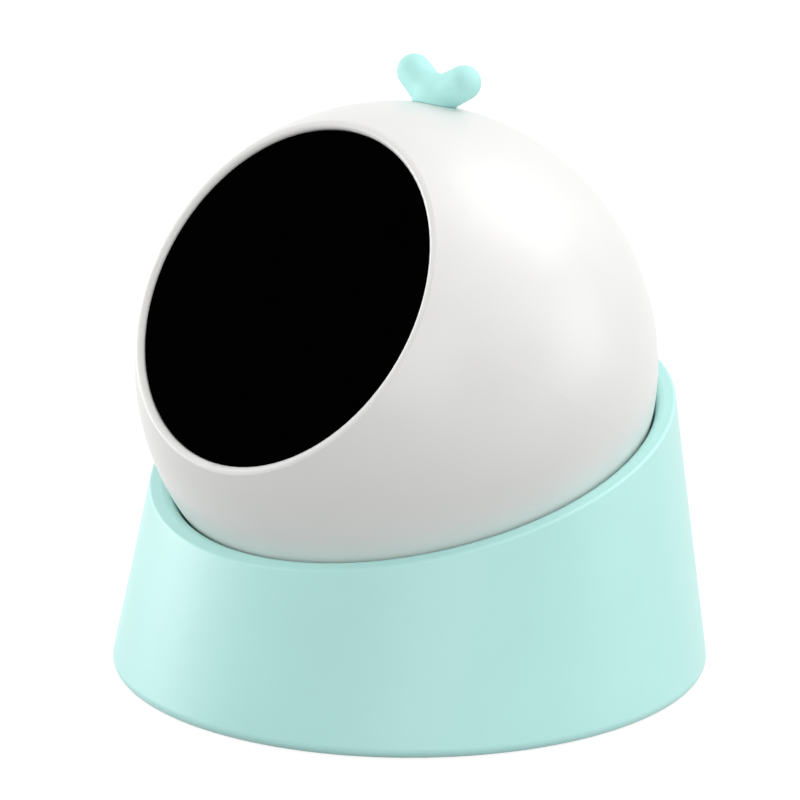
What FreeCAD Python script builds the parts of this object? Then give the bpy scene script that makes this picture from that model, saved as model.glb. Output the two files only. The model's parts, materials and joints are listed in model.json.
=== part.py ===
import FreeCAD, Part
import Sketcher
import math
import os
import re

from fcgear import involute
from fcgear.fcgear import FCWireBuilder

# An automatic laser toy for cats. A white ball with a round dark window rests on a soft
# ring in a slanted base. Inside the ball a small laser swings from side to side on a yoke
# and nods up and down in it, each way driven by its own motor through a pair of gears.
#
# Frame of the whole toy: +Z up, the front faces -Y, the origin is the middle of the base
# on the floor. Inside the ball the pieces are drawn in the ball's own frame: the origin
# is the ball's centre, +Z points out through the window and +Y towards the leaf on top.

Vector = FreeCAD.Vector
doc = FreeCAD.newDocument("CatLaserToy")

SIZES = {
    # base
    "base_flare": 5.1,
    "base_lift": 0.15,
    "base_wall": 2.2,
    "rim_land": 2.77,
    "rim_shift": 0.46,
    "rim_tilt": 15.3,
    "rim_thickness": 2.5,
    "rim_round": 0.4,
    "rim_inner_round": 1.5,
    "foot_round": 1.25,
    "bowl_gap": 0.3,
    "bowl_wall": 3.5,
    "bowl_clearance": 1.2,
    "plate_thickness": 1.8,
    "plate_play": 0.3,
    "plate_boss_height": 1.4,
    "slip_ring_inset": 0.7,
    "slip_ring_width": 5.0,
    "slip_ring_height": 1.0,
    "base_screw_inset": 12.2,
    "base_post_radius": 3.2,
    "base_screw_radius": 1.25,
    "base_screw_length": 9.0,
    "base_head_radius": 2.4,
    "base_head_height": 1.6,
    # soft ring that the ball rests on
    "seat_floor_rise": 7.0,
    "seat_height": 2.8,
    "seat_land": 0.6,
    "seat_play": 0.1,
    "seat_gap": 0.3,
    # ball
    "ball_radius": 38.0,
    "ball_rise": 11.85,
    "shell_wall": 2.2,
    "window_lift": 31.7,
    "window_depth": 11.35,
    "window_thickness": 2.0,
    "window_play": 0.1,
    "window_edge": 0.25,
    "lip_proud": 0.5,
    "lip_round": 0.6,
    "lip_flat": 0.24,
    "lip_inner_round": 0.65,
    "ledge_width": 2.2,
    "ledge_thickness": 1.8,
    "adhesive_thickness": 0.2,
    "adhesive_margin": 0.4,
    # back of the ball
    "cover_depth": 11.0,
    "cover_seam": 0.1,
    "spigot_play": 0.3,
    "spigot_wall": 1.3,
    "spigot_height": 1.4,
    "flange_depth": 1.6,
    "flange_thickness": 1.8,
    "cover_screw_inset": 3.1,
    "flange_land": 2.3,
    "cover_boss_radius": 2.4,
    "cover_screw_radius": 1.25,
    "cover_screw_play": 0.2,
    "cover_screw_length": 12.5,
    "cover_head_radius": 2.3,
    "cover_head_height": 1.7,
    "cover_head_play": 0.3,
    "cover_head_depth": 0.4,
    # chassis
    "plate_margin": 3.2,
    "chassis_thickness": 2.0,
    "chassis_boss_height": 4.8,
    "deck_height": 14.0,
    "deck_thickness": 2.0,
    "deck_width": 20.6,
    "deck_nose_radius": 6.0,
    "gusset_thickness": 1.6,
    "gusset_length": 12.0,
    "gusset_depth": 4.0,
    # battery and main board
    "battery_width": 24.0,
    "battery_height": 19.0,
    "battery_thickness": 5.2,
    "battery_pad_size": 12.0,
    "battery_pad_thickness": 2.0,
    "cradle_wall": 1.2,
    "board_width": 30.0,
    "board_height": 26.0,
    "board_thickness": 1.6,
    "board_standoff": 2.2,
    "board_hole_x": 12.8,
    "board_hole_y": 10.8,
    "standoff_radius": 1.9,
    "board_screw_radius": 0.8,
    "board_screw_head": 1.6,
    "board_screw_head_height": 1.1,
    "board_screw_length": 4.0,
    "chip_size": 7.0,
    "chip_height": 1.2,
    # mechanism
    "axis_height": 23.6,
    "gear_module": 0.5,
    "pressure_angle": 20.0,
    "mesh_play": 0.08,
    "pan_gear_teeth": 40,
    "pan_pinion_teeth": 12,
    "tilt_gear_teeth": 32,
    "tilt_pinion_teeth": 12,
    "gear_width": 2.0,
    "gear_gap": 0.4,
    "running_play": 0.05,
    "axle_radius": 1.5,
    "yoke_half_width": 10.0,
    "yoke_wall": 1.6,
    "yoke_half_depth": 3.5,
    "trunnion_radius": 1.2,
    "cradle_radius": 4.6,
    "cradle_back": 4.0,
    "cradle_front": 4.5,
    "tilt_gear_inset": 2.6,
    "pan_motor_radius": 5.2,
    "pan_motor_length": 13.0,
    "motor_ear_span": 8.2,
    "motor_ear_thickness": 1.0,
    "motor_ear_width": 5.0,
    "motor_screw_radius": 0.8,
    "motor_screw_head": 1.5,
    "motor_screw_head_height": 1.0,
    "motor_shaft_radius": 0.75,
    "tilt_motor_radius": 3.6,
    "tilt_motor_length": 9.5,
    "clamp_wall": 1.0,
    "clamp_width": 5.0,
    "shelf_drop": 5.6,
    "shelf_thickness": 1.4,
    # laser
    "laser_radius": 3.0,
    "laser_length": 12.0,
    "laser_overhang": 3.0,
    "laser_mouth_radius": 2.0,
    "laser_mouth_depth": 2.6,
    "laser_lens_thickness": 1.2,
    "laser_lens_dome": 0.5,
    # charging, switch and light behind the ball's crown
    "power_angle": 113.5,
    "power_board_width": 20.0,
    "power_board_margin": 0.4,
    "power_board_thickness": 1.2,
    "power_board_depth": 8.0,
    "power_pitch": 7.5,
    "button_radius": 4.0,
    "button_play": 0.25,
    "button_proud": 0.85,
    "button_roof": 1.6,
    "button_wall": 0.6,
    "button_skirt": 5.0,
    "button_lug": 1.0,
    "button_lug_height": 0.8,
    "button_lug_width": 3.0,
    "button_dome": 0.35,
    "switch_width": 4.4,
    "switch_height": 4.2,
    "plunger_radius": 1.2,
    "plunger_socket": 1.6,
    "usb_width": 8.94,
    "usb_height": 3.26,
    "usb_length": 5.5,
    "usb_skin": 0.3,
    "usb_play": 0.25,
    "usb_back": 0.9,
    "usb_tongue_width": 6.6,
    "usb_tongue_thickness": 0.7,
    "usb_tongue_length": 4.0,
    "light_radius": 1.1,
    "light_play": 0.05,
    "light_collar": 1.6,
    "light_collar_height": 1.0,
    "led_width": 3.0,
    "led_height": 0.8,
    "power_post_radius": 1.9,
    "power_post_spacing": 7.4,
    "power_screw_length": 4.6,
    # wires
    "wire_radius": 0.45,
    "wire_pitch": 1.4,
    "wire_hole_radius": 1.7,
    "wire_hole_y": 12.0,
    "wire_clearance": 2.6,
    # leaf
    "leaf_angle": 70.3,
    "leaf_lean": 3.0,
    "leaf_spread": 5.0,
    "leaf_rise": 3.9,
    "leaf_radius": 2.5,
    "leaf_root_spread": 1.05,
    "leaf_root_radius": 2.6,
    "leaf_root_rise": 1.6,
    "leaf_neck_width": 7.0,
    "leaf_neck_depth": 4.8,
    "leaf_peg_radius": 1.5,
    "leaf_peg_play": 0.1,
    "leaf_boss_radius": 3.4,
    "leaf_boss_depth": 1.2,
    "leaf_screw_radius": 0.8,
    "leaf_screw_length": 4.0,
    "leaf_screw_head": 2.6,
    "leaf_screw_head_height": 1.1,
}

# Sizes and places that follow from those above, worked out in the same sheet.
FOLLOWING_SIZES = {
    # base, from the ball that it holds
    "bowl_radius": "ball_radius + bowl_gap",
    "bowl_outside": "bowl_radius + bowl_wall",
    "bowl_edge": "sqrt(bowl_radius^2 - ball_rise^2)",
    "plate_top": "slip_ring_height + plate_thickness",
    "ball_y": "rim_shift - ball_rise * sin(rim_tilt)",
    "ball_z": "plate_top + bowl_clearance + bowl_outside",
    "rim_radius": "bowl_edge + rim_land",
    "rim_height": "ball_z - ball_rise * cos(rim_tilt)",
    "base_radius": "rim_radius + base_flare",
    "plate_room": "base_radius - base_wall",
    "slip_ring_radius": "plate_room - plate_play - slip_ring_inset",
    "base_screw_circle": "base_radius - base_screw_inset",
    "base_post_start": "plate_top + plate_boss_height",
    "seat_sphere": "ball_radius + seat_gap",
    "seat_floor_depth": "ball_radius - seat_floor_rise",
    "seat_top_depth": "seat_floor_depth - seat_height",
    "seat_radius": "sqrt(seat_sphere^2 - seat_top_depth^2) + seat_land + seat_play",
    # ball
    "inside_radius": "ball_radius - shell_wall",
    "window_distance": "ball_radius - window_depth",
    "lip_distance": "window_distance + lip_proud",
    "lip_centre": "sqrt((ball_radius - lip_round)^2 - (lip_distance - lip_round)^2)",
    "pocket_radius": "lip_centre - lip_flat - lip_inner_round",
    "window_radius": "pocket_radius - window_play",
    "ledge_distance": "window_distance - window_thickness - adhesive_thickness",
    "cover_distance": "ball_radius - cover_depth",
    "cover_plane": "cover_distance + cover_seam",
    "flange_back": "cover_distance - flange_depth",
    "flange_front": "flange_back - flange_thickness",
    "spigot_outside": "sqrt(inside_radius^2 - cover_distance^2) - spigot_play",
    "spigot_inside": "spigot_outside - spigot_wall",
    "cover_screw_circle": "spigot_inside - cover_screw_inset",
    "flange_bore": "cover_screw_circle - flange_land",
    "cover_head_rim": "cover_screw_circle + cover_head_radius",
    "cover_head_seat": "sqrt(ball_radius^2 - cover_head_rim^2) - cover_head_depth - cover_head_height",
    # inside the ball
    "plate_radius": "cover_screw_circle + plate_margin",
    "chassis_front": "flange_front - chassis_thickness",
    "board_back": "chassis_front - board_standoff",
    "board_front": "board_back - board_thickness",
    "pan_axis_distance": "axis_height - chassis_front",
    "pan_centres": "gear_module * (pan_gear_teeth + pan_pinion_teeth) / 2 + mesh_play",
    "tilt_centres": "gear_module * (tilt_gear_teeth + tilt_pinion_teeth) / 2 + mesh_play",
    "pan_pinion_place": "pan_axis_distance - pan_centres",
    "tilt_pinion_place": "pan_axis_distance - tilt_centres",
    "pan_gear_height": "deck_height - gear_gap",
    "yoke_half_height": "pan_gear_height - gear_width",
    "tilt_gear_place": "yoke_half_width - tilt_gear_inset - gear_width",
    # charging, switch and light
    "power_board_distance": "ball_radius - power_board_depth",
    "power_board_length": "2 * power_pitch + usb_height + 2 * power_board_margin",
    "power_top": "power_board_distance + power_board_thickness",
    "switch_top": "power_top + switch_height",
    "button_top": "sqrt(ball_radius^2 - power_pitch^2) + button_proud",
    "button_ceiling": "button_top - button_roof",
    # leaf
    "leaf_seat": "inside_radius - leaf_boss_depth",
}

# Where each sub-part's own frame lies in the toy: (place in Y, place in Z, turn about X).
FRAMES = {
    "base": ("0", "0", "0"),
    "seat": ("ball_y", "ball_z", "0"),
    "ball": ("ball_y", "ball_z", "90 - window_lift"),
    "power": ("ball_y", "ball_z", "90 - window_lift - power_angle"),
    "leaf": ("ball_y", "ball_z", "90 - window_lift - leaf_angle"),
}

SIDES = (-1, 1)
FIRST_ANGLE = 1
CLOSE = 1e-3
X_AXIS = Vector(1, 0, 0)
Y_AXIS = Vector(0, 1, 0)
Z_AXIS = Vector(0, 0, 1)

sheet = doc.addObject("Spreadsheet::Sheet", "Sizes")
subparts = []


# ---------------------------------------------------------------- helpers

def fill_sheet():
    """Write one named row for each driving size and one formula for each size that follows."""
    formulas = {name: f"={formula}" for name, formula in FOLLOWING_SIZES.items()}
    for row, (name, content) in enumerate({**SIZES, **formulas}.items(), start=1):
        sheet.set(f"A{row}", name)
        sheet.setAlias(f"B{row}", name)
        sheet.set(f"B{row}", str(content))
    doc.recompute()


def linked(expression):
    """Point the size names of an expression at the sheet's cells."""
    def cell(word):
        known = word[0] in SIZES or word[0] in FOLLOWING_SIZES
        return f"Sizes.{word[0]}" if known else word[0]
    return re.sub(r"[a-z]\w*", cell, expression)


def value(expression):
    """Work an expression out with the sheet's present sizes."""
    return float(sheet.evalExpression(linked(expression)))


def bind(item, field, expression):
    item.setExpression(field, linked(expression))


def move_to(item, place):
    for letter, expression in zip("xyz", place):
        bind(item, f"Placement.Base.{letter}", expression)


def turn(item, angle, axis=X_AXIS):
    """Turn an item about an axis through its origin, by an angle from the sheet."""
    item.Placement = FreeCAD.Placement(item.Placement.Base, FreeCAD.Rotation(axis, FIRST_ANGLE))
    bind(item, "Placement.Rotation.Angle", angle)
    return item


def cylinder(radius, height, place, along="Z"):
    """A round bar that starts at a place and runs along +X, +Y or +Z."""
    item = doc.addObject("Part::Cylinder", "Bar")
    bind(item, "Radius", radius)
    bind(item, "Height", height)
    turns = {"Z": (Z_AXIS, 0), "X": (Y_AXIS, 90), "Y": (X_AXIS, -90)}
    axis, angle = turns[along]
    item.Placement = FreeCAD.Placement(Vector(), FreeCAD.Rotation(axis, angle))
    move_to(item, place)
    return item


def block(length, width, height, corner):
    """A box from its lowest corner."""
    item = doc.addObject("Part::Box", "Block")
    bind(item, "Length", length)
    bind(item, "Width", width)
    bind(item, "Height", height)
    move_to(item, corner)
    return item


def centred_block(length, width, height, middle):
    """A box round its middle in X and Y, from its lowest Z."""
    x, y, z = middle
    return block(length, width, height, (f"{x} - ({length}) / 2", f"{y} - ({width}) / 2", z))


def ball(radius, place=("0", "0", "0")):
    item = doc.addObject("Part::Sphere", "Ball")
    bind(item, "Radius", radius)
    move_to(item, place)
    return item


def joined(items):
    """One solid of several that touch or overlap, or a group of solids that lie apart."""
    items = list(items)
    if len(items) == 1:
        return items[0]
    item = doc.addObject("Part::MultiFuse", "Joined")
    item.Shapes = items
    return item


def grouped(items):
    """Solids that lie apart, kept as a group."""
    item = doc.addObject("Part::Compound", "Group")
    item.Links = list(items)
    return item


def less(base, tools):
    item = doc.addObject("Part::Cut", "Less")
    item.Base = base
    item.Tool = joined(tools)
    return item


def within(items):
    item = doc.addObject("Part::MultiCommon", "Within")
    item.Shapes = list(items)
    return item


def sketch_on(body, plane="XZ_Plane"):
    sketch = body.newObject("Sketcher::SketchObject", "Outline")
    support = next(item for item in body.Origin.OriginFeatures if item.Role == plane)
    sketch.AttachmentSupport = [(support, "")]
    sketch.MapMode = "FlatFace"
    return sketch


def arc_between(start, end, radius):
    """The short arc from start to end. A positive radius puts its centre on the left."""
    chord = end - start
    side = Vector(-chord.y, chord.x, 0).normalize() * math.copysign(1, radius)
    middle = (start + end) * 0.5
    centre = middle + side * math.sqrt(max(radius ** 2 - (chord.Length / 2) ** 2, 0))
    crown = centre - side * abs(radius)
    return Part.Arc(start, crown, end)


def outline(body, corners, plane="XZ_Plane"):
    """A closed outline in a sketch, fully constrained and bound to the sheet.

    A corner is (x, y). A third entry is the radius of the arc that leads to the corner.
    """
    sketch = sketch_on(body, plane)
    points = [Vector(value(corner[0]), value(corner[1]), 0) for corner in corners]
    edges = []
    for index, corner in enumerate(corners):
        start, end = points[index - 1], points[index]
        radius = corner[2] if len(corner) > 2 else None
        if radius:
            edge = sketch.addGeometry(arc_between(start, end, value(radius)), False)
            first = 1 if (sketch.getPoint(edge, 1) - start).Length < CLOSE else 2
        else:
            edge = sketch.addGeometry(Part.LineSegment(start, end), False)
            first = 1
        edges.append((edge, first, 3 - first, radius))
    for index, (edge, _, last, radius) in enumerate(edges):
        following, first, _, _ = edges[(index + 1) % len(edges)]
        sketch.addConstraint(Sketcher.Constraint("Coincident", edge, last, following, first))
        across, up = corners[index][:2]
        for kind, axis, expression in (("DistanceX", -2, across), ("DistanceY", -1, up)):
            if expression == "0":
                sketch.addConstraint(Sketcher.Constraint("PointOnObject", edge, last, axis))
            else:
                measure(sketch, Sketcher.Constraint(kind, -1, 1, edge, last, value(expression)), expression)
        if radius:
            length = radius.lstrip("-")
            measure(sketch, Sketcher.Constraint("Radius", edge, value(length)), length)
    return sketch


def measure(sketch, constraint, expression):
    bind(sketch, f"Constraints[{sketch.addConstraint(constraint)}]", expression)


def revolved(corners):
    """A solid of revolution about Z: each corner is (distance from Z, height)."""
    body = doc.addObject("PartDesign::Body", "Turned")
    sketch = outline(body, corners)
    feature = body.newObject("PartDesign::Revolution", "Revolution")
    feature.Profile = sketch
    feature.ReferenceAxis = (sketch, ["V_Axis"])
    feature.Angle = 360
    return body


def padded(corners, height, plane="XY_Plane", both_ways=False):
    """A flat piece of an outline, from its plane upwards or both ways from it."""
    body = doc.addObject("PartDesign::Body", "Flat")
    feature = body.newObject("PartDesign::Pad", "Pad")
    feature.Profile = outline(body, corners, plane)
    feature.Midplane = both_ways
    bind(feature, "Length", height)
    return body


def stadium(width, height, length, place):
    """A bar with round ends, width along X, that runs along +Z."""
    x, y, z = place
    middle = centred_block(f"({width}) - ({height})", height, length, place)
    ends = [
        cylinder(f"({height}) / 2", length, (f"{x} + {side} * (({width}) - ({height})) / 2", y, z))
        for side in SIDES
    ]
    return joined([middle, *ends])


def screw(head_radius, head_height, radius, length, place, points_up=True):
    """A pan-head screw with a cross slot. Its head seats at the place, its shank runs on from there."""
    x, y, z = place
    head_z = f"{z} - {head_height}" if points_up else z
    shank_z = z if points_up else f"{z} - {length}"
    slot_z = head_z if points_up else f"{z} + {head_height} / 2"
    head = cylinder(head_radius, head_height, (x, y, head_z))
    shank = cylinder(radius, length, (x, y, shank_z))
    long, wide = f"{head_radius} * 1.2", f"{head_radius} / 4"
    slots = [
        centred_block(*sides, f"{head_height} / 2", (x, y, slot_z))
        for sides in ((long, wide), (wide, long))
    ]
    return less(joined([head, shank]), slots)


def gear(teeth, bore, width, half_tooth_turn):
    """A spur gear with involute teeth, standing on the XY plane with its axis along +Z."""
    builder = FCWireBuilder()
    involute.CreateExternalGear(builder, sheet.gear_module, int(sheet.get(teeth)), sheet.pressure_angle)
    face = Part.Face(Part.Wire([edge.toShape() for edge in builder.wire]))
    solid = face.extrude(Vector(0, 0, value(width)))
    solid = solid.cut(Part.makeCylinder(value(bore), value(width)))
    if half_tooth_turn:
        solid.rotate(Vector(), Z_AXIS, 180 / sheet.get(teeth))
    return solid


def subpart(item, label, frame="base"):
    """Name a finished sub-part and set it in its frame."""
    if item.TypeId in ("Part::Box", "Part::Cylinder", "Part::Feature"):
        item = grouped([item])
    item.Label = label
    y, z, angle = FRAMES[frame]
    item.Placement = FreeCAD.Placement(Vector(), FreeCAD.Rotation(X_AXIS, FIRST_ANGLE))
    move_to(item, ("0", y, z))
    bind(item, "Placement.Rotation.Angle", angle)
    subparts.append(item)
    return item


# ---------------------------------------------------------------- base

def slanted_drum(inset, lift, drop):
    """A drum from the level foot circle to the slanted rim circle, with straight walls between."""
    foot = doc.addObject("Part::Circle", "FootCircle")
    bind(foot, "Radius", f"base_radius - {inset}")
    move_to(foot, ("0", "0", lift))
    rim = doc.addObject("Part::Circle", "RimCircle")
    bind(rim, "Radius", f"rim_radius - {inset}")
    turn(rim, "rim_tilt")
    move_to(rim, ("0", f"rim_shift + {drop} * sin(rim_tilt)", f"rim_height - {drop} * cos(rim_tilt)"))
    drum = doc.addObject("Part::Loft", "Drum")
    drum.Sections = [foot, rim]
    drum.Solid = True
    drum.Ruled = True
    return drum


def rounded_rim(solid):
    """Round the foot's edge, the rim's outer edge and the rim's edge into the bowl."""
    doc.recompute()
    rounded = doc.addObject("Part::Fillet", "Rounded")
    rounded.Base = solid
    rounds = (
        (value("base_radius"), value("foot_round")),
        (value("rim_radius"), value("rim_round")),
        (value("bowl_edge"), value("rim_inner_round")),
    )
    edges = []
    for number, edge in enumerate(solid.Shape.Edges, start=1):
        if edge.Degenerated or not isinstance(edge.Curve, Part.Circle):
            continue
        edges += [
            (number, rounding, rounding) for radius, rounding in rounds
            if abs(edge.Curve.Radius - radius) < CLOSE
        ]
    rounded.Edges = edges
    return rounded


def base_screw_places():
    """The four screws of the base, on the diagonals."""
    reach = "base_screw_circle / sqrt(2)"
    return [(f"{x} * {reach}", f"{y} * {reach}") for x in SIDES for y in SIDES]


def make_base_shell():
    centre = ("0", "ball_y", "ball_z")
    hollowed = less(slanted_drum("0", "base_lift", "0"), [ball("bowl_radius", centre)])
    outside = rounded_rim(hollowed)
    inside = slanted_drum("base_wall", "0", "rim_thickness")
    cavity = less(inside, [ball("bowl_outside", centre)])
    plate_room = cylinder("plate_room", "plate_top", ("0", "0", "0"))
    groove_height = "seat_floor_depth - seat_top_depth + bowl_wall"
    groove = cylinder("seat_radius", groove_height, ("0", "ball_y", "ball_z - seat_floor_depth"))
    shell = less(outside, [cavity, plate_room, groove])
    posts = joined(
        cylinder("base_post_radius", "rim_height - base_post_start", (x, y, "base_post_start"))
        for x, y in base_screw_places()
    )
    trimmed = less(within([posts, slanted_drum("base_wall / 2", "0", "rim_thickness")]),
                   [ball("bowl_radius", centre), groove])
    pilots = [
        cylinder("base_screw_radius", "base_screw_length", (x, y, "base_post_start - plate_boss_height / 2"))
        for x, y in base_screw_places()
    ]
    subpart(less(joined([shell, trimmed]), pilots), "base_shell")


def make_base_plate():
    disc = cylinder("plate_room - plate_play", "plate_thickness", ("0", "0", "slip_ring_height"))
    boss_height = "plate_thickness + plate_boss_height"
    bosses = [
        cylinder("base_post_radius + plate_play", boss_height, (x, y, "slip_ring_height"))
        for x, y in base_screw_places()
    ]
    holes = [
        cylinder("base_screw_radius + running_play", boss_height, (x, y, "slip_ring_height"))
        for x, y in base_screw_places()
    ]
    recesses = [
        cylinder("base_head_radius + plate_play", "base_head_height + plate_play", (x, y, "slip_ring_height"))
        for x, y in base_screw_places()
    ]
    subpart(less(joined([disc, *bosses]), [*holes, *recesses]), "base_plate")


def make_anti_slip_ring():
    outside = cylinder("slip_ring_radius", "slip_ring_height", ("0", "0", "0"))
    inside = cylinder("slip_ring_radius - slip_ring_width", "slip_ring_height", ("0", "0", "0"))
    subpart(less(outside, [inside]), "anti_slip_ring")


def make_base_screws():
    seat = "slip_ring_height + base_head_height + plate_play"
    screws = [
        screw("base_head_radius", "base_head_height", "base_screw_radius",
              "base_screw_length - plate_play", (x, y, seat))
        for x, y in base_screw_places()
    ]
    subpart(grouped(screws), "base_screws")


def make_seat_ring():
    inner = "(ball_radius + seat_gap)"
    outer = "seat_radius - seat_play"
    corners = [
        (f"sqrt({inner}^2 - seat_floor_depth^2)", "-seat_floor_depth"),
        (outer, "-seat_floor_depth"),
        (outer, "-seat_top_depth"),
        (f"sqrt({inner}^2 - seat_top_depth^2)", "-seat_top_depth"),
    ]
    corners[0] = (*corners[0], f"-{inner}")
    subpart(revolved(corners), "seat_ring", "seat")


# ---------------------------------------------------------------- ball

def lip_corners():
    """The lip round the window: over the ball's curve, a small flat and down into the window's pocket."""
    grow = "ball_radius / (ball_radius - lip_round)"
    return [
        (f"lip_centre * {grow}", f"(lip_distance - lip_round) * {grow}", "ball_radius"),
        ("lip_centre", "lip_distance", "lip_round"),
        ("pocket_radius + lip_inner_round", "lip_distance"),
        ("pocket_radius", "lip_distance - lip_inner_round", "lip_inner_round"),
    ]


def ball_wall():
    """The ball's wall with the window's ledge at the front and a flange at the back."""
    def on_inside(distance):
        return f"sqrt(inside_radius^2 - ({distance})^2)"
    ledge_back = "ledge_distance - ledge_thickness"
    return revolved([
        ("sqrt(ball_radius^2 - cover_distance^2)", "-cover_distance"),
        *lip_corners(),
        ("pocket_radius", "ledge_distance"),
        ("pocket_radius - ledge_width", "ledge_distance"),
        ("pocket_radius - ledge_width", ledge_back),
        (on_inside(ledge_back), ledge_back),
        (on_inside("flange_front"), "-flange_front", "-inside_radius"),
        ("flange_bore", "-flange_front"),
        ("flange_bore", "-flange_back"),
        (on_inside("flange_back"), "-flange_back"),
        (on_inside("cover_distance"), "-cover_distance", "-inside_radius"),
    ])


def cover_screw_places():
    """The four screws of the rear cover, above, below and at the sides."""
    return [("cover_screw_circle * " + str(x), "cover_screw_circle * " + str(y))
            for x, y in ((1, 0), (0, 1), (-1, 0), (0, -1))]


def make_ball_shell():
    power_posts = joined(
        cylinder("power_post_radius", "inside_radius - power_top + shell_wall / 4",
                 (f"{side} * power_post_spacing", "0", "power_top"))
        for side in SIDES
    )
    turn(power_posts, "-power_angle")
    leaf_boss = joined([
        cylinder("leaf_boss_radius", "leaf_boss_depth + shell_wall / 2", ("0", "0", "leaf_seat")),
        cylinder("leaf_peg_radius", "leaf_boss_depth", ("0", "0", "leaf_seat")),
    ])
    turn(leaf_boss, "-leaf_angle")
    solid = joined([ball_wall(), power_posts, leaf_boss])

    through = "shell_wall * 3"
    start = "inside_radius - shell_wall"
    power_holes = joined([
        cylinder("button_radius + button_play", through, ("0", "-power_pitch", start)),
        stadium("usb_width + 2 * usb_play", "usb_height + 2 * usb_play", "ball_radius",
                ("0", "power_pitch", "power_top")),
        cylinder("light_radius + light_play", through, ("0", "0", start)),
        *[cylinder("board_screw_radius", "power_screw_length - power_board_thickness",
                   (f"{side} * power_post_spacing", "0", "power_top")) for side in SIDES],
    ])
    turn(power_holes, "-power_angle")
    leaf_hole = joined([
        cylinder("leaf_peg_radius + leaf_peg_play", through, ("0", "0", "leaf_seat + leaf_boss_depth / 2")),
        cylinder("leaf_screw_radius + running_play", through, ("0", "0", "leaf_seat - leaf_boss_depth")),
    ])
    turn(leaf_hole, "-leaf_angle")
    flange_holes = [
        cylinder("cover_screw_radius + cover_screw_play", "flange_thickness", (x, y, "-flange_back"))
        for x, y in cover_screw_places()
    ]
    subpart(less(solid, [power_holes, leaf_hole, *flange_holes]), "ball_shell", "ball")


def make_window():
    back = "window_distance - window_thickness"
    subpart(revolved([
        ("0", back),
        ("window_radius", back),
        ("window_radius", "window_distance - window_edge"),
        ("window_radius - window_edge", "window_distance", "window_edge"),
        ("0", "window_distance"),
    ]), "window_panel", "ball")
    outside = cylinder("window_radius - adhesive_margin", "adhesive_thickness", ("0", "0", "ledge_distance"))
    inside = cylinder("pocket_radius - ledge_width + adhesive_margin", "adhesive_thickness",
                      ("0", "0", "ledge_distance"))
    subpart(less(outside, [inside]), "window_adhesive", "ball")


def make_rear_cover():
    inner_end = "sqrt(inside_radius^2 - spigot_inside^2)"
    spigot_top = "cover_distance - spigot_height"
    cap = revolved([
        ("0", "-ball_radius"),
        ("sqrt(ball_radius^2 - cover_plane^2)", "-cover_plane", "ball_radius"),
        ("spigot_outside", "-cover_plane"),
        ("spigot_outside", f"-({spigot_top})"),
        ("spigot_inside", f"-({spigot_top})"),
        ("spigot_inside", f"-{inner_end}"),
        ("0", "-inside_radius", "-inside_radius"),
    ])
    ribs = within([ball("inside_radius + shell_wall / 2"), joined(
        centred_block("cradle_wall", "battery_pad_size + 2 * cradle_wall", "ball_radius - flange_front",
                      (f"{side} * (battery_pad_size + cradle_wall) / 2", "0", "-ball_radius"))
        for side in SIDES
    )])
    battery_room = centred_block("battery_width", "battery_height", "ball_radius",
                                 ("0", "0", "-(flange_front + battery_thickness + cover_seam)"))
    bosses = within([ball("inside_radius + shell_wall / 2"), joined(
        cylinder("cover_boss_radius + cover_head_play", "ball_radius - flange_back", (x, y, "-ball_radius"))
        for x, y in cover_screw_places()
    )])
    holes = [
        cylinder("cover_screw_radius + cover_screw_play", "ball_radius", (x, y, "-ball_radius"))
        for x, y in cover_screw_places()
    ]
    recesses = [
        cylinder("cover_head_radius + cover_head_play", "ball_radius - cover_head_seat",
                 (x, y, "-ball_radius"))
        for x, y in cover_screw_places()
    ]
    solid = joined([cap, less(ribs, [battery_room]), bosses])
    subpart(less(solid, [*holes, *recesses]), "rear_cover", "ball")


def make_cover_screws():
    screws = [
        screw("cover_head_radius", "cover_head_height", "cover_screw_radius", "cover_screw_length",
              (x, y, "-cover_head_seat"))
        for x, y in cover_screw_places()
    ]
    subpart(grouped(screws), "cover_screws", "ball")


# ---------------------------------------------------------------- leaf

def make_leaf():
    """Two plump lobes in a V that leans to one side, on a short oval neck with a peg into the ball."""
    doc.recompute()
    root_z = value("ball_radius + leaf_root_rise")
    lean = FreeCAD.Rotation(Vector(0, 1, 0), value("leaf_lean"))
    lobes = []
    for side in SIDES:
        root = Vector(side * value("leaf_root_spread"), 0, root_z)
        rise = Vector(side * value("leaf_spread"), 0, value("leaf_rise - leaf_root_rise"))
        tip = Vector(0, 0, root_z) + lean.multVec(rise)
        along = tip - root
        lobes += [
            Part.makeCone(value("leaf_root_radius"), value("leaf_radius"), along.Length, root, along),
            Part.makeSphere(value("leaf_radius"), tip),
            Part.makeSphere(value("leaf_root_radius"), root),
        ]
    neck_z = value("ball_radius - leaf_root_rise / 2")
    half_width = value("leaf_neck_width - leaf_neck_depth") / 2
    depth = value("leaf_neck_depth")
    neck = [
        Part.makeCylinder(depth / 2, root_z - neck_z, Vector(side * half_width, 0, neck_z)) for side in SIDES
    ]
    neck.append(Part.makeBox(2 * half_width, depth, root_z - neck_z, Vector(-half_width, -depth / 2, neck_z)))
    solid = lobes[0].multiFuse(lobes[1:] + neck)
    solid = solid.cut(Part.makeSphere(value("ball_radius")))
    peg_start = value("leaf_seat + leaf_boss_depth / 2")
    peg = Part.makeCylinder(value("leaf_peg_radius"), value("ball_radius + leaf_radius / 2") - peg_start,
                            Vector(0, 0, peg_start))
    pilot = Part.makeCylinder(value("leaf_screw_radius"), value("leaf_screw_length"),
                              Vector(0, 0, value("leaf_seat")))
    solid = solid.fuse(peg).cut(pilot).removeSplitter()
    feature = doc.addObject("Part::Feature", "Leaf")
    feature.Shape = solid
    subpart(feature, "sprout", "leaf")
    subpart(screw("leaf_screw_head", "leaf_screw_head_height", "leaf_screw_radius", "leaf_screw_length",
                  ("0", "0", "leaf_seat")), "sprout_screw", "leaf")


# ---------------------------------------------------------------- inside the ball

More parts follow.
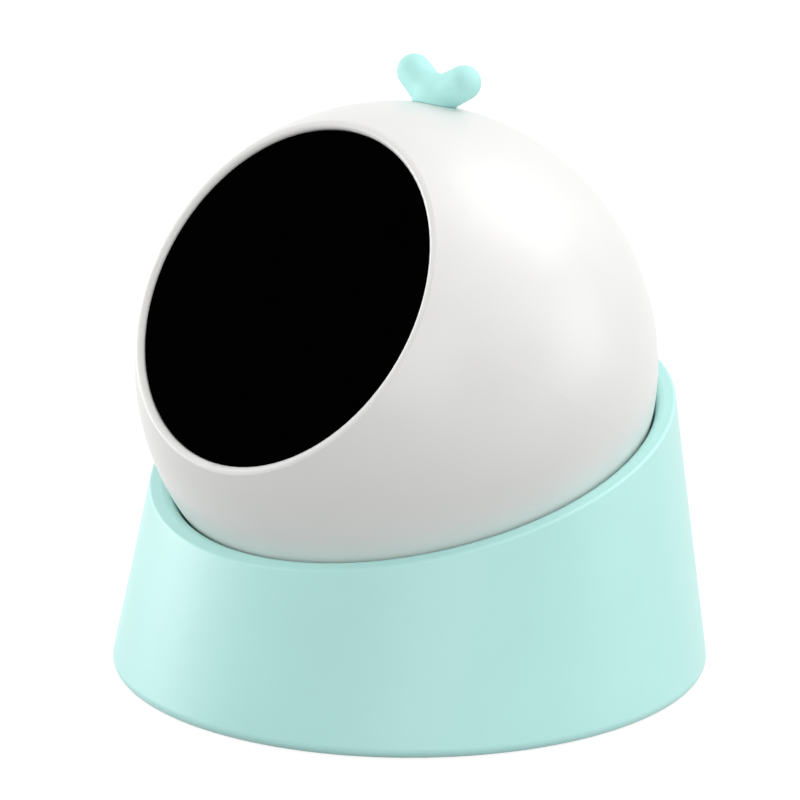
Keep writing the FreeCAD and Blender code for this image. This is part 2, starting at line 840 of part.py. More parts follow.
def deck(side):
    """A deck that carries one end of the yoke, with a round nose and a gusset to the plate."""
    inner = f"{side} * deck_height"
    low = inner if side > 0 else f"{inner} - deck_thickness"
    reach = "chassis_front + pan_axis_distance"
    plank = block("deck_width", "deck_thickness", reach, ("-deck_width / 2", low, "-chassis_front"))
    nose = cylinder("deck_nose_radius", "deck_thickness", ("0", low, "pan_axis_distance"), "Y")
    gussets = [
        padded([
            (f"{side} * (deck_height + deck_thickness / 2)", "-chassis_front"),
            (f"{side} * (deck_height + deck_thickness + gusset_depth)", "-chassis_front"),
            (f"{side} * (deck_height + deck_thickness / 2)", "-chassis_front + gusset_length"),
        ], "gusset_thickness", "YZ_Plane", both_ways=True)
        for _ in SIDES
    ]
    for across, gusset in zip(SIDES, gussets):
        move_to(gusset, (f"{across} * (deck_width - gusset_thickness) / 2", "0", "0"))
    return [plank, nose, *gussets]


def make_chassis():
    plate = cylinder("plate_radius", "chassis_thickness", ("0", "0", "-flange_front"))
    bosses = [
        cylinder("cover_boss_radius", "chassis_thickness + chassis_boss_height", (x, y, "-flange_front"))
        for x, y in cover_screw_places()
    ]
    standoffs = [
        cylinder("standoff_radius", "board_standoff + chassis_thickness / 2",
                 (f"{x} * board_hole_x", f"{y} * board_hole_y", "-chassis_front - chassis_thickness / 2"))
        for x in SIDES for y in SIDES
    ]
    through = "chassis_thickness + chassis_boss_height"
    pilots = [
        cylinder("cover_screw_radius", through, (x, y, "-flange_front"))
        for x, y in cover_screw_places()
    ]
    board_pilots = [
        cylinder("board_screw_radius", "board_screw_length - board_thickness",
                 (f"{x} * board_hole_x", f"{y} * board_hole_y",
                  "-board_back - board_screw_length + board_thickness"))
        for x in SIDES for y in SIDES
    ]
    axle_holes = [
        cylinder("axle_radius + running_play", "deck_thickness",
                 ("0", f"{side} * deck_height - (1 - {side}) / 2 * deck_thickness", "pan_axis_distance"), "Y")
        for side in SIDES
    ]
    low = "-deck_height - deck_thickness"
    shaft_hole = cylinder("axle_radius", "deck_thickness", ("0", low, "pan_pinion_place"), "Y")
    ear_pilots = [
        cylinder("motor_screw_radius", "deck_thickness",
                 (f"{side} * (motor_ear_span - motor_screw_head)", low, "pan_pinion_place"), "Y")
        for side in SIDES
    ]
    wire_hole = cylinder("wire_hole_radius", "chassis_thickness",
                         ("-wire_clearance", "wire_hole_y", "-flange_front"))
    solid = joined([plate, *bosses, *standoffs, *deck(1), *deck(-1)])
    holes = [wire_hole, *pilots, *board_pilots, *axle_holes, shaft_hole, *ear_pilots]
    subpart(less(solid, holes), "chassis", "ball")


def make_main_board():
    board = centred_block("board_width", "board_height", "board_thickness", ("0", "0", "-board_back"))
    places = [(f"{x} * board_hole_x", f"{y} * board_hole_y") for x in SIDES for y in SIDES]
    holes = [cylinder("board_screw_radius + running_play", "board_thickness", (x, y, "-board_back"))
             for x, y in places]
    chip = centred_block("chip_size", "chip_size", "chip_height",
                         ("-chip_size / 2", "chip_size / 2", "-board_front"))
    driver = centred_block("chip_size", "chip_size / 2", "chip_height",
                           ("chip_size", "-chip_size", "-board_front"))
    plug = centred_block("chip_size", "chip_size / 2", "chip_height * 1.5",
                         ("-chip_size", "-chip_size", "-board_front"))
    subpart(less(joined([board, chip, driver, plug]), holes), "main_board", "ball")
    screws = [
        screw("board_screw_head", "board_screw_head_height", "board_screw_radius", "board_screw_length",
              (x, y, "-board_front"), points_up=False)
        for x, y in places
    ]
    subpart(grouped(screws), "main_board_screws", "ball")


def make_battery():
    cell = centred_block("battery_width", "battery_height", "battery_thickness",
                         ("0", "0", "-flange_front - battery_thickness"))
    subpart(cell, "battery", "ball")
    pad = centred_block("battery_pad_size", "battery_pad_size", "battery_pad_thickness",
                        ("0", "0", "-flange_front - battery_thickness - battery_pad_thickness"))
    subpart(pad, "battery_pad", "ball")


def make_pan_motor():
    low = "-deck_height - deck_thickness"
    can = cylinder("pan_motor_radius", "pan_motor_length",
                   ("0", f"{low} - pan_motor_length", "pan_pinion_place"), "Y")
    ear = block("2 * motor_ear_span", "motor_ear_thickness", "motor_ear_width",
                ("-motor_ear_span", f"{low} - motor_ear_thickness", "pan_pinion_place - motor_ear_width / 2"))
    shaft_room = cylinder("motor_shaft_radius + running_play", "pan_motor_length / 2",
                          ("0", f"{low} - pan_motor_length / 2", "pan_pinion_place"), "Y")
    places = [f"{side} * (motor_ear_span - motor_screw_head)" for side in SIDES]
    holes = [cylinder("motor_screw_radius + running_play", "motor_ear_thickness",
                      (x, f"{low} - motor_ear_thickness", "pan_pinion_place"), "Y") for x in places]
    subpart(less(joined([can, ear]), [shaft_room, *holes]), "pan_motor", "ball")
    screws = []
    for x in places:
        head_low = f"{low} - motor_ear_thickness - motor_screw_head_height"
        head = cylinder("motor_screw_head", "motor_screw_head_height", (x, head_low, "pan_pinion_place"), "Y")
        shank = cylinder("motor_screw_radius", "motor_ear_thickness + deck_thickness",
                         (x, f"{low} - motor_ear_thickness", "pan_pinion_place"), "Y")
        screws.append(joined([head, shank]))
    subpart(grouped(screws), "pan_motor_screws", "ball")


def gear_feature(solid, label):
    feature = doc.addObject("Part::Feature", "Gear")
    feature.Shape = solid
    subpart(feature, label, "ball")


def make_pan_gears():
    """The yoke's big gear and the pan motor's pinion, in mesh under the yoke."""
    doc.recompute()
    upright = FreeCAD.Placement(Vector(), FreeCAD.Rotation(X_AXIS, -90))
    height = value("-pan_gear_height")
    wheel = gear("pan_gear_teeth", "axle_radius", "gear_width", False)
    wheel.transformShape(upright.toMatrix())
    wheel.translate(Vector(0, height, value("pan_axis_distance")))
    gear_feature(wheel, "pan_gear")
    pinion = gear("pan_pinion_teeth", "motor_shaft_radius", "gear_width", True)
    pinion.rotate(Vector(), Z_AXIS, 90)
    pinion.transformShape(upright.toMatrix())
    pinion.translate(Vector(0, height, value("pan_pinion_place")))
    gear_feature(pinion, "pan_pinion")
    shaft_start = "-deck_height - deck_thickness - pan_motor_length / 2 + gear_gap"
    shaft = cylinder("motor_shaft_radius", f"-pan_gear_height + gear_width + gear_gap - ({shaft_start})",
                     ("0", shaft_start, "pan_pinion_place"), "Y")
    subpart(shaft, "pan_motor_shaft", "ball")


def make_yoke():
    """A closed frame round the laser, with a shelf behind for the tilt motor."""
    half = "yoke_half_width + yoke_wall"
    depth = "2 * yoke_half_depth"
    back = "pan_axis_distance - yoke_half_depth"
    frame = less(
        block(f"2 * ({half})", "2 * yoke_half_height", depth, (f"-({half})", "-yoke_half_height", back)),
        [block("2 * yoke_half_width", "2 * (yoke_half_height - yoke_wall)", depth,
               ("-yoke_half_width", "-(yoke_half_height - yoke_wall)", back))],
    )
    collar = cylinder("2 * axle_radius", "deck_height - gear_gap - yoke_half_height",
                      ("0", "yoke_half_height", "pan_axis_distance"), "Y")
    motor_start = "tilt_gear_place - gear_gap - tilt_motor_length"
    clamp_start = f"{motor_start} + (tilt_motor_length - clamp_width) / 2"
    shelf_back = "(tilt_pinion_place - clamp_wall)"
    shelf = block(f"{half} + tilt_gear_place - 2 * gear_gap", "shelf_thickness", f"{back} - {shelf_back}",
                  (f"-({half})", "-shelf_drop - shelf_thickness", shelf_back))
    web = block("yoke_wall", "shelf_thickness * 2", f"{back} - {shelf_back} + yoke_half_depth",
                (f"-({half})", "-shelf_drop - shelf_thickness", shelf_back))
    clamp = cylinder("tilt_motor_radius + clamp_wall", "clamp_width",
                     (clamp_start, "0", "tilt_pinion_place"), "X")
    pillar = block("clamp_width", "shelf_drop", "2 * clamp_wall",
                   (clamp_start, "-shelf_drop", "tilt_pinion_place - clamp_wall"))
    axle_holes = [cylinder("axle_radius", "2 * deck_height", ("0", "-deck_height", "pan_axis_distance"), "Y")]
    trunnion_holes = [cylinder("trunnion_radius + running_play", f"2 * ({half})",
                               (f"-({half})", "0", "pan_axis_distance"), "X")]
    motor_bore = cylinder("tilt_motor_radius", "clamp_width", (clamp_start, "0", "tilt_pinion_place"), "X")
    solid = joined([frame, collar, shelf, web, clamp, pillar])
    subpart(less(solid, [*axle_holes, *trunnion_holes, motor_bore]), "yoke", "ball")


def make_pan_axles():
    """Two short steel pins, one above and one below, on one line through the laser."""
    inner = "yoke_half_height - yoke_wall"
    length = f"deck_height + deck_thickness - ({inner})"
    pins = [
        cylinder("axle_radius", length, ("0", inner, "pan_axis_distance"), "Y"),
        cylinder("axle_radius", length, ("0", "-deck_height - deck_thickness", "pan_axis_distance"), "Y"),
    ]
    subpart(grouped(pins), "pan_axles", "ball")


def make_tilt_motor():
    start = "tilt_gear_place - gear_gap - tilt_motor_length"
    can = cylinder("tilt_motor_radius", "tilt_motor_length", (start, "0", "tilt_pinion_place"), "X")
    tail = cylinder("tilt_motor_radius / 2", "gear_gap * 2",
                    (f"{start} - gear_gap * 2", "0", "tilt_pinion_place"), "X")
    room = cylinder("motor_shaft_radius + running_play", "tilt_motor_length / 2",
                    (f"{start} + tilt_motor_length / 2", "0", "tilt_pinion_place"), "X")
    subpart(less(joined([can, tail]), [room]), "tilt_motor", "ball")


def make_tilt_gears():
    """The laser's own gear and the tilt motor's pinion, in mesh beside the laser."""
    doc.recompute()
    sideways = FreeCAD.Placement(Vector(), FreeCAD.Rotation(Y_AXIS, 90))
    start = value("tilt_gear_place")
    wheel = gear("tilt_gear_teeth", "trunnion_radius", "gear_width", False)
    wheel.transformShape(sideways.toMatrix())
    wheel.translate(Vector(start, 0, value("pan_axis_distance")))
    gear_feature(wheel, "tilt_gear")
    pinion = gear("tilt_pinion_teeth", "motor_shaft_radius", "gear_width", True)
    pinion.transformShape(sideways.toMatrix())
    pinion.translate(Vector(start, 0, value("tilt_pinion_place")))
    gear_feature(pinion, "tilt_pinion")
    shaft_start = "tilt_gear_place - tilt_motor_length / 2"
    shaft = cylinder("motor_shaft_radius", f"tilt_gear_place + gear_width + gear_gap - ({shaft_start})",
                     (shaft_start, "0", "tilt_pinion_place"), "X")
    subpart(shaft, "tilt_motor_shaft", "ball")


def make_laser():
    """The laser's cradle on its two trunnions, the brass barrel in it and the lens in the barrel."""
    back = "pan_axis_distance - cradle_back"
    tube = cylinder("cradle_radius", "cradle_back + cradle_front", ("0", "0", back))
    trunnions = [
        cylinder("trunnion_radius", "yoke_half_width + yoke_wall", ("0", "0", "pan_axis_distance"), "X"),
        cylinder("trunnion_radius", "yoke_half_width + yoke_wall",
                 ("-yoke_half_width - yoke_wall", "0", "pan_axis_distance"), "X"),
    ]
    hub = cylinder("2 * trunnion_radius", "tilt_gear_place", ("0", "0", "pan_axis_distance"), "X")
    bore = cylinder("laser_radius", "laser_length", ("0", "0", f"{back} - gear_gap"))
    subpart(less(joined([tube, *trunnions, hub]), [bore]), "laser_cradle", "ball")
    front = f"({back} + laser_length - gear_gap)"
    subpart(revolved([
        ("0", f"{back} - gear_gap"),
        ("laser_radius", f"{back} - gear_gap"),
        ("laser_radius", front),
        ("laser_mouth_radius", front),
        ("laser_mouth_radius", f"{front} - laser_mouth_depth"),
        ("0", f"{front} - laser_mouth_depth"),
    ]), "laser_barrel", "ball")
    lens_back = f"{front} - laser_mouth_depth"
    dome = "(laser_mouth_radius^2 + laser_lens_dome^2) / (2 * laser_lens_dome)"
    subpart(revolved([
        ("0", lens_back),
        ("laser_mouth_radius", lens_back),
        ("laser_mouth_radius", f"{lens_back} + laser_lens_thickness"),
        ("0", f"{lens_back} + laser_lens_thickness + laser_lens_dome", dome),
    ]), "laser_lens", "ball")


def lead(route, label, source=None):
    """A pair of insulated wires side by side along a smooth route, cut off flush with their source."""
    doc.recompute()
    middle = [Vector(*(value(part) for part in place)) for place in route]
    wires = []
    for side in SIDES:
        apart = Vector(side * value("wire_pitch / 2"), 0, 0)
        curve = Part.BSplineCurve()
        curve.interpolate([place + apart for place in middle])
        path = Part.Wire(curve.toShape())
        start, towards = curve.value(curve.FirstParameter), curve.tangent(curve.FirstParameter)[0]
        section = Part.Wire(Part.makeCircle(value("wire_radius"), start, towards))
        wires.append(path.makePipeShell([section], True, True))
    feature = doc.addObject("Part::Feature", "Lead")
    feature.Shape = Part.makeCompound(wires)
    subpart(less(feature, [source]) if source else feature, label, "ball")


def make_leads():
    """The wires that stay still: from the battery, the power board and the pan motor to the main board."""
    lead([
        ("-wire_clearance", "battery_height / 2 + wire_radius", "-flange_front - battery_thickness / 2"),
        ("-wire_clearance", "wire_hole_y", "-flange_front - wire_radius"),
        ("-wire_clearance", "wire_hole_y", "-chassis_front - wire_radius"),
        ("-wire_clearance", "wire_hole_y - wire_radius", "-board_back - wire_radius / 2"),
    ], "battery_lead")
    under_board = "(power_board_distance - wire_radius)"
    off_middle = "(power_pitch - wire_radius)"
    board_y = f"{under_board} * sin(power_angle) + {off_middle} * cos(power_angle)"
    board_z = f"{under_board} * cos(power_angle) - {off_middle} * sin(power_angle)"
    side = "board_width / 2 - wire_clearance / 2"
    over_screw = "-board_front + wire_clearance"
    lead([
        ("power_board_width / 2 - wire_clearance", board_y, board_z),
        ("deck_width / 2 + wire_clearance / 2", f"{board_y} - wire_clearance", over_screw),
        (side, "deck_height", over_screw),
        (side, "board_hole_y", over_screw),
        (side, "board_hole_y - 2 * wire_clearance", "-board_front + wire_radius"),
    ], "power_board_lead")
    motor_end = "-deck_height - deck_thickness - pan_motor_length"
    motor = cylinder("pan_motor_radius", "pan_motor_length", ("0", motor_end, "pan_pinion_place"), "Y")
    lead([
        ("-wire_clearance", f"{motor_end} + wire_radius", "pan_pinion_place"),
        ("-wire_clearance", f"{motor_end} - wire_clearance / 2", "pan_pinion_place"),
        ("-wire_clearance * 2", f"{motor_end} - wire_clearance * 0.7",
         "pan_pinion_place - wire_clearance / 2"),
        ("-wire_clearance * 3.4", f"{motor_end} + wire_clearance", "pan_pinion_place - wire_clearance"),
        (f"-({side})", "-deck_height - deck_thickness - wire_clearance", over_screw),
        (f"-({side})", "-board_hole_y", over_screw),
        (f"-({side})", "-board_hole_y + wire_clearance * 1.4", "-board_front + wire_radius"),
    ], "pan_motor_lead", motor)


# ---------------------------------------------------------------- charging, switch and light

def make_power_board():
    board = centred_block("power_board_width", "power_board_length", "power_board_thickness",
                          ("0", "0", "power_board_distance"))
    places = [f"{side} * power_post_spacing" for side in SIDES]
    holes = [
        cylinder("board_screw_radius + running_play", "power_board_thickness",
                 (x, "0", "power_board_distance"))
        for x in places
    ]
    subpart(less(board, holes), "power_board", "power")
    screws = [
        screw("board_screw_head", "board_screw_head_height", "board_screw_radius", "power_screw_length",
              (x, "0", "power_board_distance"))
        for x in places
    ]
    subpart(grouped(screws), "power_board_screws", "power")


def make_usb_port():
    """An upright charging socket: a rounded metal shell with a tongue."""
    shell = stadium("usb_width", "usb_height", "usb_length", ("0", "power_pitch", "power_top"))
    room = stadium("usb_width - 2 * usb_skin", "usb_height - 2 * usb_skin", "usb_length",
                   ("0", "power_pitch", "power_top + usb_back"))
    tongue = centred_block("usb_tongue_width", "usb_tongue_thickness", "usb_tongue_length + usb_back / 2",
                           ("0", "power_pitch", "power_top + usb_back / 2"))
    subpart(joined([less(shell, [room]), tongue]), "usb_port", "power")


def make_switch():
    body = centred_block("switch_width", "switch_width", "switch_height", ("0", "-power_pitch", "power_top"))
    socket = cylinder("plunger_radius + running_play", "switch_height",
                      ("0", "-power_pitch", "switch_top - 2 * plunger_socket"))
    subpart(less(body, [socket]), "power_switch", "power")
    plunger = cylinder("plunger_radius", "button_ceiling - switch_top + plunger_socket",
                       ("0", "-power_pitch", "switch_top - plunger_socket"))
    subpart(plunger, "switch_plunger", "power")


def make_power_button():
    """A round cap with a shallow dome, a skirt round the switch and two lugs that keep it in the ball."""
    skirt_start = "button_top - button_skirt"
    rim = "button_top - button_dome"
    dome = "(button_radius^2 + button_dome^2) / (2 * button_dome)"
    cap = revolved([
        ("0", "button_ceiling"),
        ("button_radius - button_wall", "button_ceiling"),
        ("button_radius - button_wall", skirt_start),
        ("button_radius", skirt_start),
        ("button_radius", rim),
        ("0", "button_top", dome),
    ])
    lug_reach = "button_radius + button_lug"
    under_wall = f"sqrt(inside_radius^2 - (power_pitch + button_lug_width / 2)^2 - ({lug_reach})^2)"
    lug_start = f"{under_wall} - running_play - button_lug_height"
    lugs = within([
        centred_block(f"2 * ({lug_reach})", "button_lug_width", "button_lug_height", ("0", "0", lug_start)),
        less(cylinder(lug_reach, "button_lug_height", ("0", "0", lug_start)),
             [cylinder("button_radius - button_wall / 2", "button_lug_height", ("0", "0", lug_start))]),
    ])
    button = joined([cap, lugs])
    carrier = grouped([button])
    move_to(button, ("0", "-power_pitch", "0"))
    subpart(carrier, "power_button", "power")


def make_light():
    led = centred_block("led_width", "led_width / 2", "led_height", ("0", "0", "power_top"))
    subpart(led, "status_led", "power")
    rod_start = "power_top + led_height"
    rod = cylinder("light_radius", f"ball_radius - ({rod_start})", ("0", "0", rod_start))
    collar = cylinder("light_collar", "light_collar_height",
                      ("0", "0", "sqrt(inside_radius^2 - light_collar^2) - light_collar_height"))
    subpart(within([joined([rod, collar]), ball("ball_radius")]), "light_pipe", "power")


def write_parts():
    doc.recompute()
    for item in doc.Objects:
        if "Invalid" in item.State or "Error" in item.State:
            raise RuntimeError(f"{item.Label} did not build: {item.State}")
    os.makedirs("parts", exist_ok=True)
    for item in subparts:
        if item.Shape.isNull() or not item.Shape.isValid() or not item.Shape.Solids:
            raise RuntimeError(f"{item.Label} has no valid solid")
        item.Shape.exportStep(os.path.join("parts", f"{item.Label}.step"))
        print(item.Label, len(item.Shape.Solids), round(item.Shape.Volume, 2))


fill_sheet()
make_base_shell()
make_base_plate()
make_anti_slip_ring()
make_base_screws()
make_seat_ring()
make_ball_shell()
make_window()
make_rear_cover()
make_cover_screws()
make_leaf()
make_chassis()
make_main_board()
make_battery()
make_pan_motor()
make_pan_gears()
make_yoke()
make_pan_axles()
make_tilt_motor()
make_tilt_gears()
make_laser()
make_leads()
make_power_board()
make_usb_port()
make_switch()
make_power_button()
make_light()
write_parts()
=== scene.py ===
# %% [markdown]
# A small laser toy for cats, dressed for its portrait.
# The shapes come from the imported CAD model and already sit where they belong, in metres.
# This file gives every surface its finish, makes the leaf on top as one soft form, and
# sets up a plain bright studio. Each step first says what the real thing is.

# %% Load the frame
import json
import math

import bpy
import numpy as np
from mathutils import Matrix, Vector


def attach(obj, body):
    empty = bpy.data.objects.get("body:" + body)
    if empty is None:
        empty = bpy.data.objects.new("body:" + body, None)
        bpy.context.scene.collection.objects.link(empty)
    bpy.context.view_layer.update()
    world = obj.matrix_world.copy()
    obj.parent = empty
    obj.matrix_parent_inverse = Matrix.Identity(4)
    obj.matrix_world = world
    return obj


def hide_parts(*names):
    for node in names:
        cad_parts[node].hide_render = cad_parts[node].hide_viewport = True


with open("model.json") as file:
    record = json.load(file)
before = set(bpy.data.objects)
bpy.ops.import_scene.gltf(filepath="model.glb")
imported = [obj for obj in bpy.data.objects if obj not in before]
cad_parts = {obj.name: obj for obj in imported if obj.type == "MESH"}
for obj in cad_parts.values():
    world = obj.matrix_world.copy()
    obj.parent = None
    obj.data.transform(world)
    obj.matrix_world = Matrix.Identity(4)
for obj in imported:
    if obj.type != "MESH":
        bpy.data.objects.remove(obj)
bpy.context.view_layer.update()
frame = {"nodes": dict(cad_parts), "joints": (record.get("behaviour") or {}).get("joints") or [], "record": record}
nodes = frame["nodes"]
MM = 0.001

# %% [markdown]
# The camera. A long lens, which keeps round things round, looks down a little on the toy
# from half-way between its front and its side, as for a catalogue. The camera's turn could
# be given as three angles. Three arrows at right angles, to its right, up and back, are
# easier to picture and make the same matrix. The lens is given by its length on a 36 mm
# wide sensor, and a small shift frames the toy.

# %% Camera
camera_place = Vector((0.38200, -0.39435, 0.19173))
camera_right = Vector((0.71827, 0.69576, 0.0)).normalized()
camera_back = Vector((0.67017, -0.69185, 0.26873)).normalized()
camera_up = camera_back.cross(camera_right)

camera = bpy.data.objects.new("portrait_camera", bpy.data.cameras.new("portrait_camera"))
bpy.context.scene.collection.objects.link(camera)
turn = Matrix((camera_right, camera_up, camera_back)).transposed().to_4x4()
camera.matrix_world = Matrix.Translation(camera_place) @ turn
camera.data.sensor_width = 36
camera.data.lens = 175.31
camera.data.shift_x = -0.01144
camera.data.shift_y = 0.00882
camera.data.clip_start = 0.01
bpy.context.scene.camera = camera
print("camera looks down by", round(math.degrees(math.asin(camera_back.z)), 1), "degrees")

# %% [markdown]
# Every finish is a small network of nodes. The pattern of a moulded surface lives in the
# object itself, so it is read from Object coordinates, which on these pieces are plain
# metres. A painted image would need every piece unwrapped first. Noise that is worked out
# from the place in space needs nothing, and has the right scale on every piece. Helpers
# keep the wiring short: each makes a node, sets its values and links its inputs.

# %% Helpers that start a finish
def new_material(name):
    """An empty node material, with its Principled shader and its Object coordinates."""
    material = bpy.data.materials.new(name)
    material.use_nodes = True
    tree = material.node_tree
    shader = tree.nodes["Principled BSDF"]
    where = tree.nodes.new("ShaderNodeTexCoord")
    return material, tree, shader, where.outputs["Object"]


def settings(material):
    """The inputs of a finished material's Principled shader, by name."""
    return material.node_tree.nodes["Principled BSDF"].inputs


def noise(tree, where, size_mm, detail=2.0):
    """Cloudy noise whose blobs are about size_mm across."""
    node = tree.nodes.new("ShaderNodeTexNoise")
    node.inputs["Scale"].default_value = 1 / (size_mm * MM)
    node.inputs["Detail"].default_value = detail
    tree.links.new(where, node.inputs["Vector"])
    return node.outputs["Fac"]


print("helpers that start a finish: new_material, settings, noise")

# %% [markdown]
# Noise is a number from 0 to 1 that mostly stays round the middle, while a finish needs a
# roughness, a colour or a height. Map Range turns it into a number between two others, and
# a Color Ramp into a colour between two others. Real relief would take millions of faces,
# so Bump only tilts the light's idea of the surface, which is enough for grain this fine.

# %% Helpers that turn noise into gloss, tone and relief
NOISE_LOW, NOISE_HIGH = 0.3, 0.7  # where the values of a noise mostly lie


def spread(tree, source, low, high):
    """A value that goes straight from low to high as a noise goes over its usual range."""
    node = tree.nodes.new("ShaderNodeMapRange")
    node.inputs["From Min"].default_value = NOISE_LOW
    node.inputs["From Max"].default_value = NOISE_HIGH
    node.inputs["To Min"].default_value = low
    node.inputs["To Max"].default_value = high
    tree.links.new(source, node.inputs["Value"])
    return node.outputs["Result"]


def tint(tree, source, dark, light):
    """A colour that goes straight from dark to light as a noise goes over its usual range."""
    node = tree.nodes.new("ShaderNodeValToRGB")
    first, last = node.color_ramp.elements
    first.position, last.position = NOISE_LOW, NOISE_HIGH
    first.color, last.color = (*dark, 1), (*light, 1)
    tree.links.new(source, node.inputs["Fac"])
    return node.outputs["Color"]


def bump(tree, shader, source, height_mm):
    """Fine relief: the surface stands height_mm higher where the source is 1 than where it is 0."""
    node = tree.nodes.new("ShaderNodeBump")
    node.inputs["Distance"].default_value = height_mm * MM
    node.inputs["Strength"].default_value = 1.0
    tree.links.new(source, node.inputs["Height"])
    tree.links.new(node.outputs["Normal"], shader.inputs["Normal"])


def shade(colour, factor):
    """The same hue, lighter or darker: each channel times the factor, at most 1."""
    return tuple(min(channel * factor, 1.0) for channel in colour)


print("a noise is read from", NOISE_LOW, "to", NOISE_HIGH)

# %% [markdown]
# The ball, the base, the leaf and the frame inside are moulded plastic, which is never
# quite even. The steel mould leaves a fine grain or a faint orange peel, and the gloss
# wanders a little from place to place. One flat colour would look like a drawing. So a
# plastic gets three things: a tone that drifts a little over centimetres, a roughness that
# drifts with it, and a relief of 0.0006 to 0.004 mm.

# %% Moulded plastic
CLOUD_MM = 14


def moulded_plastic(name, colour, gloss, grain_mm, relief_mm, drift=0.015):
    """Tone is colour times 1 - drift to 1 + drift; gloss is the roughness from (low, high)."""
    material, tree, shader, where = new_material(name)
    cloud = noise(tree, where, CLOUD_MM, detail=3)
    tone = tint(tree, cloud, shade(colour, 1 - drift), shade(colour, 1 + drift))
    tree.links.new(tone, shader.inputs["Base Color"])
    tree.links.new(spread(tree, cloud, *gloss), shader.inputs["Roughness"])
    bump(tree, shader, noise(tree, where, grain_mm), relief_mm)
    return material


print("moulded plastic drifts over", CLOUD_MM, "mm")

# %% [markdown]
# The outside plastics. The ball is satin white and the base a satin mint with a finer
# grain. The leaf is softer and duller, close to silicone. The ball and the button are
# polished a little more, which a thin clear coat over the grain gives: two sheens, one
# broad and one sharper, where a lower roughness alone would give a single hard one.

# %% Outside plastics
WHITE = (0.80, 0.795, 0.78)
MINT = (0.50, 0.85, 0.81)
LEAF_MINT = (0.48, 0.86, 0.82)

white_shell = moulded_plastic("white_shell", WHITE, gloss=(0.33, 0.40), grain_mm=0.9, relief_mm=0.0006)
mint_shell = moulded_plastic("mint_shell", MINT, gloss=(0.36, 0.43), grain_mm=0.35, relief_mm=0.0010)
leaf_skin = moulded_plastic("leaf_skin", LEAF_MINT, gloss=(0.55, 0.65), grain_mm=0.6, relief_mm=0.0006)
button_skin = moulded_plastic("button_skin", LEAF_MINT, gloss=(0.28, 0.36), grain_mm=0.6, relief_mm=0.0006)
settings(leaf_skin)["Specular IOR Level"].default_value = 0.3
for plastic in (white_shell, button_skin):
    settings(plastic)["Coat Weight"].default_value = 0.15
    settings(plastic)["Coat Roughness"].default_value = 0.22
print("outside plastics:", white_shell.name, mint_shell.name, leaf_skin.name, button_skin.name)

# %% [markdown]
# The inside plastics: the dark frame and cradle, the milky nylon of the gears, the black
# switch, and the frosted pipe that brings the charging light to the outside. They come
# from the same recipe, because only colour, gloss and grain set them apart.

# %% Inside plastics
CHARCOAL = (0.035, 0.037, 0.040)
MILKY = (0.76, 0.75, 0.69)
BLACK = (0.012, 0.012, 0.013)
FROSTED = (0.78, 0.84, 0.83)

inner_plastic = moulded_plastic("inner_plastic", CHARCOAL, gloss=(0.45, 0.60),
                                grain_mm=0.3, relief_mm=0.004, drift=0.08)
gear_nylon = moulded_plastic("gear_nylon", MILKY, gloss=(0.38, 0.50),
                             grain_mm=0.5, relief_mm=0.002, drift=0.03)
switch_plastic = moulded_plastic("switch_plastic", BLACK, gloss=(0.35, 0.50),
                                 grain_mm=0.3, relief_mm=0.003, drift=0.1)
light_plastic = moulded_plastic("light_plastic", FROSTED, gloss=(0.18, 0.26),
                                grain_mm=0.5, relief_mm=0.0006)
print("inside plastics:", inner_plastic.name, gear_nylon.name, switch_plastic.name, light_plastic.name)

# %% [markdown]
# The window is a disc of smoked acrylic. The laser's red shines through it, yet from
# outside it looks black, because nearly all other light is soaked up on the way in and
# out. A real tinted glass would show the dark inside after many bounces of light. A near
# black surface looks the same and is quick. Its mirror is kept very low, so that the
# window stays black even when it is seen from the side, and a whisper of polishing haze
# is in the roughness.

# %% Smoked window
def smoked_acrylic():
    """Near black all through, smooth, with a very weak mirror and faint haze."""
    material, tree, shader, where = new_material("smoked_acrylic")
    cloud = noise(tree, where, size_mm=6, detail=4)
    tone = tint(tree, cloud, dark=(0.0003, 0.0003, 0.0003), light=(0.0006, 0.0006, 0.0006))
    tree.links.new(tone, shader.inputs["Base Color"])
    tree.links.new(spread(tree, cloud, 0.12, 0.14), shader.inputs["Roughness"])
    shader.inputs["Specular IOR Level"].default_value = 0.0008
    return material


window_acrylic = smoked_acrylic()
print("window:", window_acrylic.name)

# %% [markdown]
# Soft parts: the silicone ring under the ball, the rubber ring under the base, the glue
# behind the window, the foam behind the battery and the skins of the wires. They scatter
# light broadly, so they are rough with a low mirror, and a fine grain keeps them from
# looking like paper. Sheen or subsurface light would hardly show on pieces this small.

# %% Rubbers and foam
def rubber(name, colour, grain_mm, relief_mm):
    """A matte, grainy skin whose tone is colour times 0.9 to 1.1 over a few millimetres."""
    material, tree, shader, where = new_material(name)
    cloud = noise(tree, where, size_mm=5, detail=4)
    tree.links.new(tint(tree, cloud, shade(colour, 0.9), shade(colour, 1.1)), shader.inputs["Base Color"])
    tree.links.new(spread(tree, cloud, 0.68, 0.82), shader.inputs["Roughness"])
    bump(tree, shader, noise(tree, where, grain_mm), relief_mm)
    shader.inputs["Specular IOR Level"].default_value = 0.35
    return material


seat_silicone = rubber("seat_silicone", colour=(0.62, 0.66, 0.65), grain_mm=0.4, relief_mm=0.002)
foot_rubber = rubber("foot_rubber", colour=(0.035, 0.040, 0.040), grain_mm=0.25, relief_mm=0.006)
window_glue = rubber("window_glue", colour=(0.05, 0.05, 0.05), grain_mm=0.5, relief_mm=0.004)
battery_foam = rubber("battery_foam", colour=(0.03, 0.03, 0.03), grain_mm=0.5, relief_mm=0.05)
wire_skin = rubber("wire_skin", colour=(0.45, 0.03, 0.02), grain_mm=0.6, relief_mm=0.002)
print("soft parts:", seat_silicone.name, foot_rubber.name, battery_foam.name, wire_skin.name)

